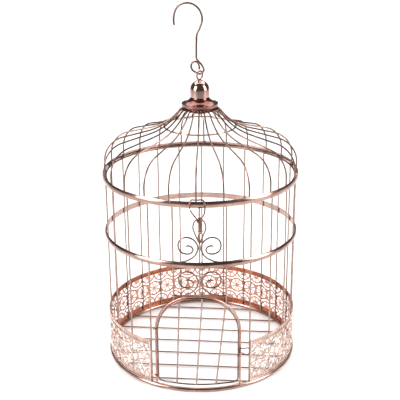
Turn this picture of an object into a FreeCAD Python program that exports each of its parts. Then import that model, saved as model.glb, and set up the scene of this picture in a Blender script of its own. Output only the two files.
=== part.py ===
import FreeCAD, Part
import math
import os

import Sketcher
from FreeCAD import Vector

# Wedding card box: a round wire birdcage with an ogee dome lid, a finial with a hanging hook,
# a small arched door, a pierced filigree band and a snap clip that hangs from the lid.
# Millimetres, +Z up, the front faces -Y, the origin is the centre of the base ring's underside.

os.makedirs("parts", exist_ok=True)
doc = FreeCAD.newDocument("CardCage")

# ---------------------------------------------------------------- sizes

SIZES = [
    # the cage
    ("cage_radius", "111.9", "circle on which the upright wires stand"),
    ("cage_height", "228.4", "top of the upright wires"),
    ("wire_thick", "1.8", "upright, dome, floor and scroll wire"),
    ("wire_count", "24", "upright wires round the whole circle"),
    ("wire_foot", "3.5", "height at which the upright wires start, inside the base ring"),
    ("weld_sink", "0.15", "how far two welded pieces melt into each other"),
    ("part_gap", "0.3", "air between pieces that move past each other"),
    ("base_thick", "5.0", "tube of the base ring"),
    ("base_flat", "0.2", "depth of the flat ground on the base ring's underside"),
    ("base_offset", "0.6", "base ring circle lies this far outside the wire circle"),
    ("floor_pitch", "30.0", "distance between floor wires"),
    ("floor_turn", "-4.3", "turn of the floor wires about the upright axis, degrees"),
    ("band_height", "7.0", "height of the middle band and of the lid hoop"),
    ("band_middle", "157.9", "height of the middle band's centre line"),
    ("band_thick", "2.35", "middle band, inside to crown"),
    ("band_shoulder", "0.8", "thickness of the bands at their edges"),
    ("rim_drop", "0.8", "rim ring's circle below the top of the upright wires"),
    # the filigree strip
    ("lace_seat", "0.2", "how far the strip's lower edge melts into the base ring"),
    ("lace_height", "53.2", "height of the filigree strip"),
    ("lace_thick", "0.8", "thickness of the filigree sheet"),
    ("lace_border", "9.0", "plain border above and below the openwork"),
    ("lace_rib", "0.5", "how far the border ribs stand proud"),
    ("lace_rib_width", "1.6", "width of a border rib"),
    ("lace_gap_angle", "30.2", "end of the filigree strip either side of the front, degrees"),
    ("lace_tiles", "30", "openwork tiles along the strip"),
    ("lace_hole", "7.0", "radius of a round opening"),
    ("lace_eyelet", "2.6", "radius of the small openings between the round ones"),
    # the door
    ("door_turn", "-1.5", "door centre line, degrees round from the front"),
    ("jamb_thick", "2.2", "jamb wire"),
    ("jamb_half", "49.4", "half width of the doorway along the cage circle"),
    ("jamb_spring", "71.1", "height at which the arch springs"),
    ("door_gap", "0.4", "air between jamb and door"),
    ("door_bottom", "9.0", "height of the door's bottom rail"),
    ("door_corner", "4.4", "corner radius of the door frame"),
    ("bar_pitch_low", "22.5", "spacing of the door bars at the rail"),
    ("bar_pitch_high", "25.7", "spacing of the door bars at the arch"),
    ("bar_lean", "7.3", "sideways lean of the door bars"),
    ("bar_low_shift", "-1.7", "foot of the middle bar from the door centre line"),
    ("loop_thick", "1.4", "wire of the door hinge loops"),
    ("loop_foot", "0.9", "lower hinge loop above the corner of the door frame"),
    ("loop_lift", "2.9", "upper hinge loop above the springing of the arch"),
    ("loop_tail", "4.6", "reach of the lower loop's tail"),
    # the door latch
    ("latch_thick", "1.2", "wire of the latch and its staple"),
    ("latch_height", "48.5", "height of the latch's middle"),
    ("latch_coil", "3.0", "turns of the latch coil"),
    ("staple_height", "13.0", "height of the latch staple"),
    ("latch_reach", "12.5", "reach of the finger tab from the staple"),
    ("latch_tab", "7.0", "height of the finger tab"),
    # scrolls and keeper on the front
    ("scroll_sink", "0.8", "upper scroll feet below the top of the middle band"),
    ("scroll_drop", "0.3", "lower scroll feet below the top of the doorway arch"),
    ("scroll_rise", "29.4", "height of a scroll"),
    ("keeper_thick", "1.6", "wire of the clip keeper"),
    ("keeper_bottom", "184.0", "lowest point of the keeper"),
    ("keeper_height", "28.5", "height of the keeper"),
    ("keeper_half", "6.7", "half width of the keeper"),
    # the lid
    ("hoop_drop", "3.8", "lower edge of the lid hoop below the top of the upright wires"),
    ("hoop_thick", "1.9", "lid hoop, inside to crown"),
    ("dome_turn", "-1.7", "turn of the dome wires against the upright wires, degrees"),
    ("dome_foot_drop", "1.4", "lower end of the dome wires below the top of the upright wires"),
    ("dome_shoulder", "30.0", "radius of the dome's shoulder"),
    ("dome_stand", "8.4", "height of the shoulder's start above the lid hoop"),
    ("dome_slope", "15.0", "rise of the dome above the shoulder, degrees"),
    ("dome_bend_radius", "60.0", "distance from the axis at which the dome turns up"),
    ("dome_neck_radius", "24.0", "distance from the axis at which the neck ends"),
    ("dome_neck_slope", "53.4", "rise at the top of the neck, degrees"),
    ("dome_top_radius", "5.0", "bend of the wires below the crown"),
    ("dome_end", "14.4", "inner end of the dome wires"),
    ("neck_ring_radius", "41.2", "ring that ties the dome wires at the neck"),
    # the finial
    ("crown_radius", "16.0", "crown disc"),
    ("crown_thick", "2.4", "crown disc thickness"),
    ("collar_radius", "13.6", "collar under the crown disc"),
    ("collar_thick", "1.6", "collar thickness"),
    ("bolt_radius", "1.5", "stem of the eye bolt"),
    ("bolt_clearance", "0.1", "radial clearance of the stem in its holes"),
    ("hub_radius", "9.0", "hub under the cap skirt"),
    ("hub_height", "2.7", "height of that hub"),
    ("skirt_radius", "21.0", "rim of the cap skirt"),
    ("skirt_edge", "2.9", "thickness of the skirt's rim"),
    ("skirt_top_radius", "10.3", "top of the skirt"),
    ("skirt_rise", "7.4", "height of the flare above the rim"),
    ("skirt_hollow", "13.0", "radius of the skirt's hollow flare"),
    ("bell_radius", "11.1", "round cap above the skirt"),
    ("bell_wall", "7.8", "straight part of the round cap"),
    ("nut_flats", "7.0", "nut across its flats"),
    ("nut_thick", "2.4", "nut thickness"),
    ("eye_thick", "1.8", "wire of the finial ring"),
    ("eye_radius", "4.8", "mean radius of the finial ring"),
    ("eye_turn", "50.0", "turn of the finial ring, degrees"),
    # the hanging hook
    ("hook_thick", "2.2", "wire of the hanging hook"),
    ("hook_height", "78.4", "from the eye's lowest point to the top of the crook"),
    ("hook_turn", "-15.0", "turn of the hook, degrees"),
    ("hook_shift", "1.5", "sideways offset that centres the hook's eye on the finial ring"),
    # the lid hinge
    ("pin_thick", "1.6", "hinge pin"),
    ("pin_end", "0.8", "hinge pin past the lid eyes"),
    ("pin_out", "2.4", "hinge pin behind the lid hoop"),
    ("pin_rise", "0.6", "hinge pin above the lower edge of the lid hoop"),
    ("pin_clearance", "0.05", "radial clearance of the eyes on the pin"),
    ("hinge_wire", "1.2", "wire of the hinge eyes"),
    # the snap clip
    ("clip_x", "1.0", "clip barrel from the centre line"),
    ("clip_out", "3.2", "clip barrel's axis outside the lid hoop"),
    ("clip_thick", "1.6", "wire of the clip"),
    ("barrel_radius", "2.15", "clip barrel"),
    ("barrel_collar", "2.6", "collars of the clip barrel"),
    ("barrel_height", "16.0", "length of the clip barrel"),
    ("barrel_drop", "9.6", "top of the barrel below the lower edge of the lid hoop"),
    ("collar_height", "1.3", "height of a barrel collar"),
    ("swivel_radius", "0.8", "stem of the swivel eye"),
    ("swivel_head", "1.4", "head of that stem inside the barrel"),
    ("head_thick", "1.4", "thickness of that head"),
    ("head_gap", "0.5", "air under that head"),
    ("swivel_drop", "1.4", "top of the swivel eye below the barrel"),
    ("swivel_height", "10.4", "height of the swivel eye"),
    ("swivel_half", "2.4", "half width of the swivel eye's centre line"),
    ("trigger_pin", "1.0", "pivot pin of the trigger"),
    # values that follow from the ones above
    ("base_radius", "=cage_radius + base_offset", "base ring circle"),
    ("base_tube", "=base_thick / 2", ""),
    ("base_centre", "=base_tube - base_flat", "height of the base ring's centre line"),
    ("base_top", "=base_centre + base_tube", ""),
    ("base_flat_half", "=sqrt(base_tube^2 - base_centre^2)", "half width of the ground flat"),
    ("base_flat_in", "=base_radius - base_flat_half", ""),
    ("base_flat_out", "=base_radius + base_flat_half", ""),
    ("lace_bottom", "=base_top - lace_seat", "lower edge of the filigree strip"),
    ("wire_outer", "=cage_radius + wire_thick / 2", "outer face of the upright wires"),
    ("band_inner", "=wire_outer - weld_sink", "inner face of everything welded on outside"),
    ("band_low", "=band_middle - band_height / 2", ""),
    ("band_high", "=band_middle + band_height / 2", ""),
    ("band_edge", "=band_inner + band_shoulder", ""),
    ("band_bulge", "=band_thick - band_shoulder", ""),
    ("band_crown", "=(band_height^2 / 4 + band_bulge^2) / 2 / band_bulge", ""),
    ("rim_radius", "=cage_radius - wire_thick + weld_sink", "rim ring circle"),
    ("lace_low_edge", "=lace_bottom + lace_rib_width", ""),
    ("lace_top", "=lace_bottom + lace_height", ""),
    ("lace_high_edge", "=lace_top - lace_rib_width", ""),
    ("lace_outer", "=band_inner + lace_thick", ""),
    ("lace_proud", "=lace_outer + lace_rib", ""),
    ("lace_middle", "=lace_bottom + lace_height / 2", ""),
    ("door_half", "=jamb_half - jamb_thick / 2 - door_gap - wire_thick / 2", ""),
    ("hoop_inner", "=wire_outer + part_gap", "inner face of the lid hoop"),
    ("hoop_outer", "=hoop_inner + hoop_thick", ""),
    ("hoop_edge", "=hoop_inner + band_shoulder", ""),
    ("hoop_low", "=cage_height - hoop_drop", ""),
    ("hoop_high", "=hoop_low + band_height", ""),
    ("hoop_bulge", "=hoop_thick - band_shoulder", ""),
    ("hoop_crown", "=(band_height^2 / 4 + hoop_bulge^2) / 2 / hoop_bulge", ""),
    ("dome_radius", "=hoop_inner + 0.2 - wire_thick / 2", "circle of the dome wires' feet"),
    ("dome_foot", "=cage_height - dome_foot_drop", ""),
    ("hinge_spread", "=dome_radius * sin(-dome_turn * 1 deg) + wire_thick / 2 + hinge_wire / 2 + part_gap",
     "lid eyes either side of the middle, clear of the dome wire between them"),
    ("pin_length", "=2 * (hinge_spread + hinge_wire / 2 + pin_end)", "hinge pin length"),
    ("dome_shoulder_height", "=hoop_high + dome_stand", ""),
    ("scroll_foot_high", "=band_high - scroll_sink", ""),
    ("scroll_foot_low", "=jamb_spring + jamb_half - scroll_drop", ""),
    ("loop_low", "=door_bottom + door_corner + loop_foot", ""),
    ("loop_high", "=jamb_spring + loop_lift", ""),
]

sheet = doc.addObject("Spreadsheet::Sheet", "Sizes")
for row, (alias, content, note) in enumerate(SIZES, start=1):
    sheet.set("A%d" % row, note)
    sheet.set("B%d" % row, content)
    sheet.setAlias("B%d" % row, alias)
doc.recompute()


def size(alias):
    """Value of one named size."""
    return float(sheet.get(alias))


def add_size(alias, value):
    """One more named value that follows from the others."""
    cell = "B%d" % (len(SIZES) + 1)
    SIZES.append((alias, value, ""))
    sheet.set(cell, "%.9f" % value)
    sheet.setAlias(cell, alias)
    sheet.recompute()


# ---------------------------------------------------------------- helpers

nodes = []


def keep(item, label):
    """Mark an object as one of the pieces that are handed over."""
    item.Label = label
    nodes.append(item)
    return item


def ring(label, circle, tube, height):
    """A wire ring lying flat."""
    torus = doc.addObject("Part::Torus", label)
    torus.setExpression("Radius1", circle)
    torus.setExpression("Radius2", tube)
    torus.setExpression("Placement.Base.z", height)
    return keep(torus, label)


def rod(name, radius, length, x, y, z):
    """A straight upright rod whose size and place are expressions."""
    cylinder = doc.addObject("Part::Cylinder", name)
    cylinder.setExpression("Radius", radius)
    cylinder.setExpression("Height", length)
    cylinder.setExpression("Placement.Base.x", x)
    cylinder.setExpression("Placement.Base.y", y)
    cylinder.setExpression("Placement.Base.z", z)
    return cylinder


def group(label, members):
    """Several separate solids of one node."""
    compound = doc.addObject("Part::Compound", label)
    compound.Links = members
    return keep(compound, label)


def plane_of(body, role):
    """One of a body's own origin planes."""
    return [item for item in body.Origin.OriginFeatures if item.Role == role][0]


def pin_vertex(sketch, index, end, x, y):
    """Hold one end of a sketch edge at two named sizes; "0" means on the axis."""
    for kind, alias, axis in (("DistanceX", x, -2), ("DistanceY", y, -1)):
        if alias == "0":
            sketch.addConstraint(Sketcher.Constraint("PointOnObject", index, end, axis))
            continue
        number = sketch.addConstraint(
            Sketcher.Constraint(kind, -1, 1, index, end, size(alias)))
        sketch.setExpression("Constraints[%d]" % number, "Sizes." + alias)


def value(alias):
    """Value of a size, or nothing on the axis."""
    return 0.0 if alias == "0" else size(alias)


def draw_outline(sketch, corners):
    """Closed outline, anticlockwise. A corner is (x, y, radius of the edge that leaves it):
    None for a straight edge, an alias for a bulge, "-alias" for a hollow."""
    count = len(corners)
    ends = []
    for index, (x, y, bend) in enumerate(corners):
        following = corners[(index + 1) % count]
        start = Vector(value(x), value(y), 0)
        finish = Vector(value(following[0]), value(following[1]), 0)
        if bend is None:
            sketch.addGeometry(Part.LineSegment(start, finish))
            ends.append((1, 2))
            continue
        hollow = bend.startswith("-")
        radius = size(bend.lstrip("-"))
        chord = finish - start
        offset = math.sqrt(radius ** 2 - chord.Length ** 2 / 4)
        left = Vector(-chord.y, chord.x, 0).normalize()
        centre = (start + finish) * 0.5 + left * (-offset if hollow else offset)
        begin, stop = (finish, start) if hollow else (start, finish)
        first = math.atan2(begin.y - centre.y, begin.x - centre.x)
        last = math.atan2(stop.y - centre.y, stop.x - centre.x)
        if last <= first:
            last += 2 * math.pi
        circle = Part.Circle(centre, Vector(0, 0, 1), radius)
        sketch.addGeometry(Part.ArcOfCircle(circle, first, last))
        ends.append((2, 1) if hollow else (1, 2))
    for index, (x, y, bend) in enumerate(corners):
        following = (index + 1) % count
        sketch.addConstraint(
            Sketcher.Constraint("Coincident", index, ends[index][1], following, ends[following][0]))
        pin_vertex(sketch, index, ends[index][0], x, y)
        if bend is not None:
            number = sketch.addConstraint(
                Sketcher.Constraint("Radius", index, size(bend.lstrip("-"))))
            sketch.setExpression("Constraints[%d]" % number, "Sizes." + bend.lstrip("-"))


def turned(label, corners, sweep="360"):
    """A body revolved about the upright axis from its half section."""
    body = doc.addObject("PartDesign::Body", label)
    sketch = body.newObject("Sketcher::SketchObject", label + "_section")
    sketch.AttachmentSupport = (plane_of(body, "XZ_Plane"), [""])
    sketch.MapMode = "FlatFace"
    draw_outline(sketch, corners)
    turn = body.newObject("PartDesign::Revolution", label + "_turn")
    turn.Profile = sketch
    turn.ReferenceAxis = (sketch, ["V_Axis"])
    turn.Reversed = False
    turn.setExpression("Angle", sweep)
    sketch.Visibility = False
    return body


def formed(label, shape):
    """A bent wire piece whose shape follows a space curve."""
    piece = doc.addObject("Part::Feature", label)
    piece.Shape = shape
    piece.Placement = FreeCAD.Placement()
    return keep(piece, label)


def single_arc(start, corner, finish):
    """Arc that leaves `start` towards `corner` and arrives at `finish` from it."""
    middle = (start + finish) * 0.5
    rise = corner - middle
    half = (finish - start).Length / 2
    if rise.Length < 1e-4 * half:
        return Part.makeLine(start, finish)
    sagitta = half * math.tan(math.atan2(rise.Length, half) / 2)
    return Part.Arc(start, middle + rise.normalize() * sagitta, finish).toShape()


def two_arcs(start, leaving, finish, arriving):
    """Two arcs that meet smoothly, with given end directions."""
    chord = finish - start
    both = leaving + arriving
    bend = 2 * (1 - leaving.dot(arriving))
    if bend < 1e-9:
        length = chord.dot(chord) / (2 * chord.dot(both))
    else:
        length = (math.sqrt(chord.dot(both) ** 2 + bend * chord.dot(chord)) - chord.dot(both)) / bend
    first = start + leaving * length
    second = finish - arriving * length
    joint = (first + second) * 0.5
    return [single_arc(start, first, joint), single_arc(joint, second, finish)]


def spline(points, start=None, finish=None):
    """A smooth chain of arcs through points, with end directions where given."""
    last = len(points) - 1
    ways = []
    for index, point in enumerate(points):
        before = points[max(index - 1, 0)]
        after = points[min(index + 1, last)]
        back = (point - before).Length
        ahead = (after - point).Length
        if index == 0 or index == last:
            ways.append((after - before).normalize())
            continue
        ways.append(((point - before) * (ahead / back) + (after - point) * (back / ahead)).normalize())
    for end, inner, given in ((0, 1, start), (last, last - 1, finish)):
        chord = (points[max(end, 1)] - points[max(end, 1) - 1]).normalize()
        ways[end] = given or chord * (2 * chord.dot(ways[inner])) - ways[inner]
    edges = []
    for index in range(last):
        edges += two_arcs(points[index], ways[index], points[index + 1], ways[index + 1])
    return edges


def bent_wire(edges, thick):
    """Round wire along a chain of edges."""
    first = edges[0]
    start = first.valueAt(first.FirstParameter)
    along = first.tangentAt(first.FirstParameter)
    circle = Part.Wire([Part.makeCircle(thick / 2, start, along)])
    return Part.Wire(edges).makePipeShell([circle], True, False)


def around(azimuth, radius, height):
    """Point at an azimuth in degrees, 0 at the front and growing towards +X."""
    angle = math.radians(azimuth)
    return Vector(radius * math.sin(angle), -radius * math.cos(angle), height)


def on_cage(along, height, radius=None):
    """Point on the cage circle, `along` mm of wire circle from the front."""
    circle = size("cage_radius")
    return around(math.degrees(along / circle), radius or circle, height)


# ---------------------------------------------------------------- base and cage

TURN = "360 deg / Sizes.wire_count"
HALF_WIRE = "Sizes.wire_thick / 2"

keep(turned("base_ring", [
    ("base_flat_out", "0", "base_tube"),
    ("base_radius", "base_top", "base_tube"),
    ("base_flat_in", "0", None),
]), "base_ring")

FLOOR_SIDE = 3
floor = []
for step in range(-FLOOR_SIDE, FLOOR_SIDE + 1):
    reach = "sqrt((Sizes.cage_radius - Sizes.wire_thick / 2)^2 - (Sizes.floor_pitch * %d)^2)" % step
    bar = rod("floor_wire_%d" % (step + FLOOR_SIDE), HALF_WIRE, "2 * " + reach,
              "-" + reach, "Sizes.floor_pitch * %d" % step, "Sizes.base_centre")
    bar.Placement = FreeCAD.Placement(Vector(), FreeCAD.Rotation(Vector(0, 1, 0), 90))
    floor.append(bar)
floor_wires = group("floor_wires", floor)
floor_wires.Placement = FreeCAD.Placement(Vector(), FreeCAD.Rotation(Vector(0, 0, 1), 1))
floor_wires.setExpression("Placement.Rotation.Angle", "Sizes.floor_turn * 1 deg")

UPRIGHT_X = "Sizes.cage_radius * sin(%d * {turn})".format(turn=TURN)
UPRIGHT_Y = "-Sizes.cage_radius * cos(%d * {turn})".format(turn=TURN)
FRONT = (-1, 0, 1)
uprights = []
for number in range(2, int(size("wire_count")) - 1):
    uprights.append(rod("upright_%d" % number, HALF_WIRE, "Sizes.cage_height - Sizes.wire_foot",
                        UPRIGHT_X % number, UPRIGHT_Y % number, "Sizes.wire_foot"))
group("cage_wires", uprights)

front = []
for number in FRONT:
    offset = "(Sizes.cage_radius * (%d * 360 / Sizes.wire_count - Sizes.door_turn) * pi / 180)" % number
    foot = "Sizes.jamb_spring + sqrt(Sizes.jamb_half^2 - %s^2)" % offset
    front.append(rod("front_wire_%d" % (number + 1), HALF_WIRE, "Sizes.cage_height - (%s)" % foot,
                     UPRIGHT_X % number, UPRIGHT_Y % number, foot))
group("front_wires", front)

keep(turned("middle_band", [
    ("band_inner", "band_low", None),
    ("band_edge", "band_low", "band_crown"),
    ("band_edge", "band_high", None),
    ("band_inner", "band_high", None),
]), "middle_band")

ring("rim_ring", "Sizes.rim_radius", HALF_WIRE, "Sizes.cage_height - Sizes.rim_drop")

# ---------------------------------------------------------------- filigree strip

strip = turned("filigree_strip", [
    ("band_inner", "lace_bottom", None),
    ("lace_proud", "lace_bottom", None),
    ("lace_proud", "lace_low_edge", None),
    ("lace_outer", "lace_low_edge", None),
    ("lace_outer", "lace_high_edge", None),
    ("lace_proud", "lace_high_edge", None),
    ("lace_proud", "lace_top", None),
    ("band_inner", "lace_top", None),
], "(360 - 2 * Sizes.lace_gap_angle) * 1 deg")
strip.Placement = FreeCAD.Placement(Vector(), FreeCAD.Rotation(Vector(0, 0, 1), 1))
TILE = "((360 - 2 * Sizes.lace_gap_angle) / Sizes.lace_tiles)"


def opening(name, radius, tile, height):
    """A round tool that points outwards through the strip."""
    tool = doc.addObject("Part::Cylinder", name)
    tool.setExpression("Radius", radius)
    tool.setExpression("Height", "Sizes.band_inner * 0.2")
    angle = "(-90 + Sizes.lace_gap_angle + %s * %s) * 1 deg" % (tile, TILE)
    tool.Placement = FreeCAD.Placement(Vector(), FreeCAD.Rotation(Vector(0, 1, 0), 90))
    tool.setExpression("Placement.Base.x", "Sizes.band_inner * 0.9 * cos(%s)" % angle)
    tool.setExpression("Placement.Base.y", "Sizes.band_inner * 0.9 * sin(%s)" % angle)
    tool.setExpression("Placement.Base.z", height)
    tool.setExpression("Placement.Rotation.Axis.x", "-sin(%s)" % angle)
    tool.setExpression("Placement.Rotation.Axis.y", "cos(%s)" % angle)
    tool.setExpression("Placement.Rotation.Axis.z", "0")
    tool.setExpression("Placement.Rotation.Angle", "90 deg")
    return tool


tools = []
EYELET_HIGH = "Sizes.lace_middle + (Sizes.lace_height / 2 - Sizes.lace_border)"
EYELET_LOW = "Sizes.lace_middle - (Sizes.lace_height / 2 - Sizes.lace_border)"
for tile in range(int(size("lace_tiles"))):
    tools.append(opening("wheel_%d" % tile, "Sizes.lace_hole", tile + 0.5, "Sizes.lace_middle"))
    if tile:
        tools.append(opening("eyelet_high_%d" % tile, "Sizes.lace_eyelet", tile, EYELET_HIGH))
        tools.append(opening("eyelet_low_%d" % tile, "Sizes.lace_eyelet", tile, EYELET_LOW))
openings = doc.addObject("Part::Compound", "lace_openings")
openings.Links = tools
filigree = doc.addObject("Part::Cut", "filigree_band")
filigree.Base = strip
filigree.Tool = openings
keep(filigree, "filigree_band")

# ---------------------------------------------------------------- doorway and door

centre_along = math.radians(size("door_turn")) * size("cage_radius")
QUARTERS = 6


def arch_points(half, spring):
    """Points over a round arch laid on the cage circle, left to right."""
    points = []
    for step in range(2 * QUARTERS + 1):
        angle = math.pi - math.pi * step / (2 * QUARTERS)
        points.append(on_cage(centre_along + half * math.cos(angle), spring + half * math.sin(angle)))
    return points


UP = Vector(0, 0, 1)
DOWN = Vector(0, 0, -1)
arch = arch_points(size("jamb_half"), size("jamb_spring"))
left_foot = on_cage(centre_along - size("jamb_half"), size("wire_foot"))
right_foot = on_cage(centre_along + size("jamb_half"), size("wire_foot"))
formed("door_jamb", bent_wire([
    Part.makeLine(left_foot, arch[0]),
    *spline(arch, UP, DOWN),
    Part.makeLine(arch[-1], right_foot),
], size("jamb_thick")))

door_half = size("door_half")
rail = size("door_bottom")
corner = size("door_corner")
door_arch = arch_points(door_half, size("jamb_spring"))
left_split = on_cage(centre_along - door_half, rail + corner)
right_split = on_cage(centre_along + door_half, rail + corner)
upper_frame = bent_wire([
    Part.makeLine(left_split, door_arch[0]),
    *spline(door_arch, UP, DOWN),
    Part.makeLine(door_arch[-1], right_split),
], size("wire_thick"))
sill = []
for step in range(4):
    angle = math.pi + math.pi / 2 * step / 3
    sill.append((-door_half + corner + corner * math.cos(angle), rail + corner + corner * math.sin(angle)))
sill += [(part * (door_half - corner) / 3, rail) for part in (-2, -1, 0, 1, 2)]
sill += [(-along, height) for along, height in reversed(sill[:4])]
lower_frame = bent_wire(
    spline([on_cage(centre_along + along, height) for along, height in sill], DOWN, UP),
    size("wire_thick"))
formed("door_frame", upper_frame.fuse(lower_frame).removeSplitter())


def straight_wire(start, finish, thick):
    """Round straight wire between two points."""
    return Part.makeCylinder(thick / 2, (finish - start).Length, start, finish - start)


bars = []
for step in (-1, 0, 1):
    foot_along = size("bar_low_shift") + size("bar_pitch_low") * step
    head_along = size("bar_low_shift") + size("bar_lean") + size("bar_pitch_high") * step
    head = size("jamb_spring") + math.sqrt(door_half ** 2 - head_along ** 2)
    bars.append(straight_wire(on_cage(centre_along + foot_along, rail),
                              on_cage(centre_along + head_along, head), size("wire_thick")))
formed("door_bars", Part.makeCompound(bars))

hinge_azimuth = math.degrees((centre_along - size("jamb_half")) / size("cage_radius"))
loop_radius = size("jamb_thick") / 2 + size("door_gap") + size("loop_thick") / 2
loops = []
for height in (size("loop_low"), size("loop_high")):
    loops.append(Part.makeTorus(loop_radius, size("loop_thick") / 2,
                                around(hinge_azimuth, size("cage_radius"), height), UP))
tangent = around(hinge_azimuth + 90, 1, 0)
outward = around(hinge_azimuth, 1, 0)
low_centre = around(hinge_azimuth, size("cage_radius"), size("loop_low"))
tail = straight_wire(low_centre - tangent * loop_radius * 0.7 + outward * loop_radius * 0.7,
                     low_centre - tangent * size("loop_tail") + outward * loop_radius * 0.7,
                     size("loop_thick"))
loops[0] = loops[0].fuse(tail)
formed("door_hinge_loops", Part.makeCompound(loops))

# ---------------------------------------------------------------- door latch

latch_azimuth = math.degrees((centre_along + door_half) / size("cage_radius"))
latch_right = around(latch_azimuth + 90, 1, 0)
latch_out = around(latch_azimuth, 1, 0)
stile = around(latch_azimuth, size("cage_radius"), 0)
thin = size("latch_thick")
coil_radius = thin + size("part_gap")
staple_out = size("wire_thick") / 2 + size("part_gap") + coil_radius + thin / 2


def at_latch(right, out, height):
    """Point beside the door's right stile: rightwards, outwards, height."""
    return stile + latch_right * right + latch_out * out + UP * height


staple_low = size("latch_height") - size("staple_height") / 2
staple_high = size("latch_height") + size("staple_height") / 2
staple_bend = 1.5
staple = [
    Part.makeLine(at_latch(0, 0, staple_low), at_latch(0, staple_out - staple_bend, staple_low)),
    Part.Arc(at_latch(0, staple_out - staple_bend, staple_low),
             at_latch(0, staple_out - staple_bend * (1 - math.sqrt(0.5)),
                      staple_low + staple_bend * (1 - math.sqrt(0.5))),
             at_latch(0, staple_out, staple_low + staple_bend)).toShape(),
    Part.makeLine(at_latch(0, staple_out, staple_low + staple_bend),
                  at_latch(0, staple_out, staple_high - staple_bend)),
    Part.Arc(at_latch(0, staple_out, staple_high - staple_bend),
             at_latch(0, staple_out - staple_bend * (1 - math.sqrt(0.5)),
                      staple_high - staple_bend * (1 - math.sqrt(0.5))),
             at_latch(0, staple_out - staple_bend, staple_high)).toShape(),
    Part.makeLine(at_latch(0, staple_out - staple_bend, staple_high), at_latch(0, 0, staple_high)),
]
formed("door_latch_staple", bent_wire(staple, thin))

coil_pitch = thin + 0.15
coil_low = size("latch_height") - coil_pitch * size("latch_coil") / 2
coil = []
SIXTHS = 6
for step in range(int(size("latch_coil") * SIXTHS) + 1):
    angle = math.radians(-90 + 360 * step / SIXTHS)
    coil.append(at_latch(coil_radius * math.cos(angle), staple_out + coil_radius * math.sin(angle),
                         coil_low + coil_pitch * step / SIXTHS))
tip_right = size("door_gap") + size("wire_thick") / 2 + size("jamb_thick") + 2 * size("part_gap") + thin / 2
coil_top = coil_low + coil_pitch * size("latch_coil")
reach = size("latch_reach")
tab = size("latch_tab")
arm_out = staple_out - coil_radius
arm = [
    coil[-1],
    at_latch(tip_right * 0.5, arm_out + 0.2, coil_top + 0.6),
    at_latch(tip_right + 1.2, arm_out + 1.6, coil_top + 0.9),
    at_latch(reach - 1.6, arm_out + 2.6, coil_top + 0.4),
    at_latch(reach, arm_out + 2.8, coil_top - tab * 0.35),
    at_latch(reach - 2.6, arm_out + 2.6, coil_top - tab),
    at_latch(tip_right + 1.6, arm_out + 1.2, coil_top - tab * 0.95),
    at_latch(tip_right, arm_out - 0.6, coil_top - tab * 0.9),
    at_latch(tip_right, 0, coil_top - tab * 0.9),
]
latch_points = coil[:-1] + arm
formed("door_latch_hook", bent_wire(spline(latch_points), thin))

# ---------------------------------------------------------------- scrolls and keeper

# One scroll, left of the middle, for a rise of 1: distance from the middle wire in wire
# spacings, height above the foot in rises.
SCROLL = [
    (-1.0, 0.0), (-0.546, 0.048), (-0.1, 0.42), (-0.062, 0.6), (-0.17, 0.864), (-0.454, 1.0),
    (-0.734, 0.864), (-0.792, 0.66), (-0.717, 0.44), (-0.468, 0.347), (-0.317, 0.388),
    (-0.242, 0.531), (-0.334, 0.653), (-0.5, 0.65),
]
bay = 2 * math.pi * size("cage_radius") / size("wire_count")


def scroll(label, side, foot):
    """One bent scroll of the front, -1 for the left one."""
    points = [on_cage(-side * bay * across, foot + size("scroll_rise") * up) for across, up in SCROLL]
    return formed(label, bent_wire(spline(points), size("wire_thick")))


for level, foot_height in (("upper", size("scroll_foot_high")), ("lower", size("scroll_foot_low"))):
    scroll(level + "_scroll_left", -1, foot_height)
    scroll(level + "_scroll_right", 1, foot_height)

keeper_circle = size("wire_outer") + size("keeper_thick") / 2 - size("weld_sink")
keeper_low = size("keeper_bottom")
keeper_high = keeper_low + size("keeper_height")
belly = keeper_low + 0.68 * size("keeper_height")


def keeper_side(side):
    """Half of the lens, from its lower to its upper point."""
    half = side * size("keeper_half")
    return spline([
        on_cage(0, keeper_low, keeper_circle),
        on_cage(half * 0.6, keeper_low + 0.33 * size("keeper_height"), keeper_circle),
        on_cage(half, belly, keeper_circle),
        on_cage(half * 0.62, keeper_high - 0.08 * size("keeper_height"), keeper_circle),
        on_cage(0, keeper_high, keeper_circle),
    ])


keeper = bent_wire(keeper_side(-1), size("keeper_thick"))
keeper = keeper.fuse(bent_wire(keeper_side(1), size("keeper_thick")))
for end in (keeper_low, keeper_high):
    keeper = keeper.fuse(Part.makeSphere(size("keeper_thick") / 2, on_cage(0, end, keeper_circle)))
formed("keeper_loop", keeper)

# ---------------------------------------------------------------- lid hoop and dome

keep(turned("lid_hoop", [
    ("hoop_inner", "hoop_low", None),
    ("hoop_edge", "hoop_low", "hoop_crown"),
    ("hoop_edge", "hoop_high", None),
    ("hoop_inner", "hoop_high", None),
]), "lid_hoop")

slope = math.radians(size("dome_slope"))
steep = math.radians(size("dome_neck_slope"))
foot_radius = size("dome_radius")
shoulder = size("dome_shoulder")
shoulder_height = size("dome_shoulder_height")
shoulder_centre = (foot_radius - shoulder, shoulder_height)


def shoulder_point(angle):
    """Point of the dome's shoulder, 0 where it leaves the upright part."""
    return (shoulder_centre[0] + shoulder * math.cos(angle), shoulder_centre[1] + shoulder * math.sin(angle))


shoulder_end = shoulder_point(math.pi / 2 - slope)
bend_height = shoulder_end[1] + (shoulder_end[0] - size("dome_bend_radius")) * math.tan(slope)
bend_start = (size("dome_bend_radius"), bend_height)
hollow = (size("dome_bend_radius") - size("dome_neck_radius")) / (math.sin(steep) - math.sin(slope))
hollow_centre = (bend_start[0] - hollow * -math.sin(slope) * -1, bend_start[1] + hollow * math.cos(slope))


def hollow_point(angle):
    """Point of the neck's hollow where the wire rises at this angle."""
    return (size("dome_bend_radius") - hollow * (math.sin(angle) - math.sin(slope)),
            bend_height + hollow * (math.cos(slope) - math.cos(angle)))


neck_end = hollow_point(steep)
top_bend = size("dome_top_radius")


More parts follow.
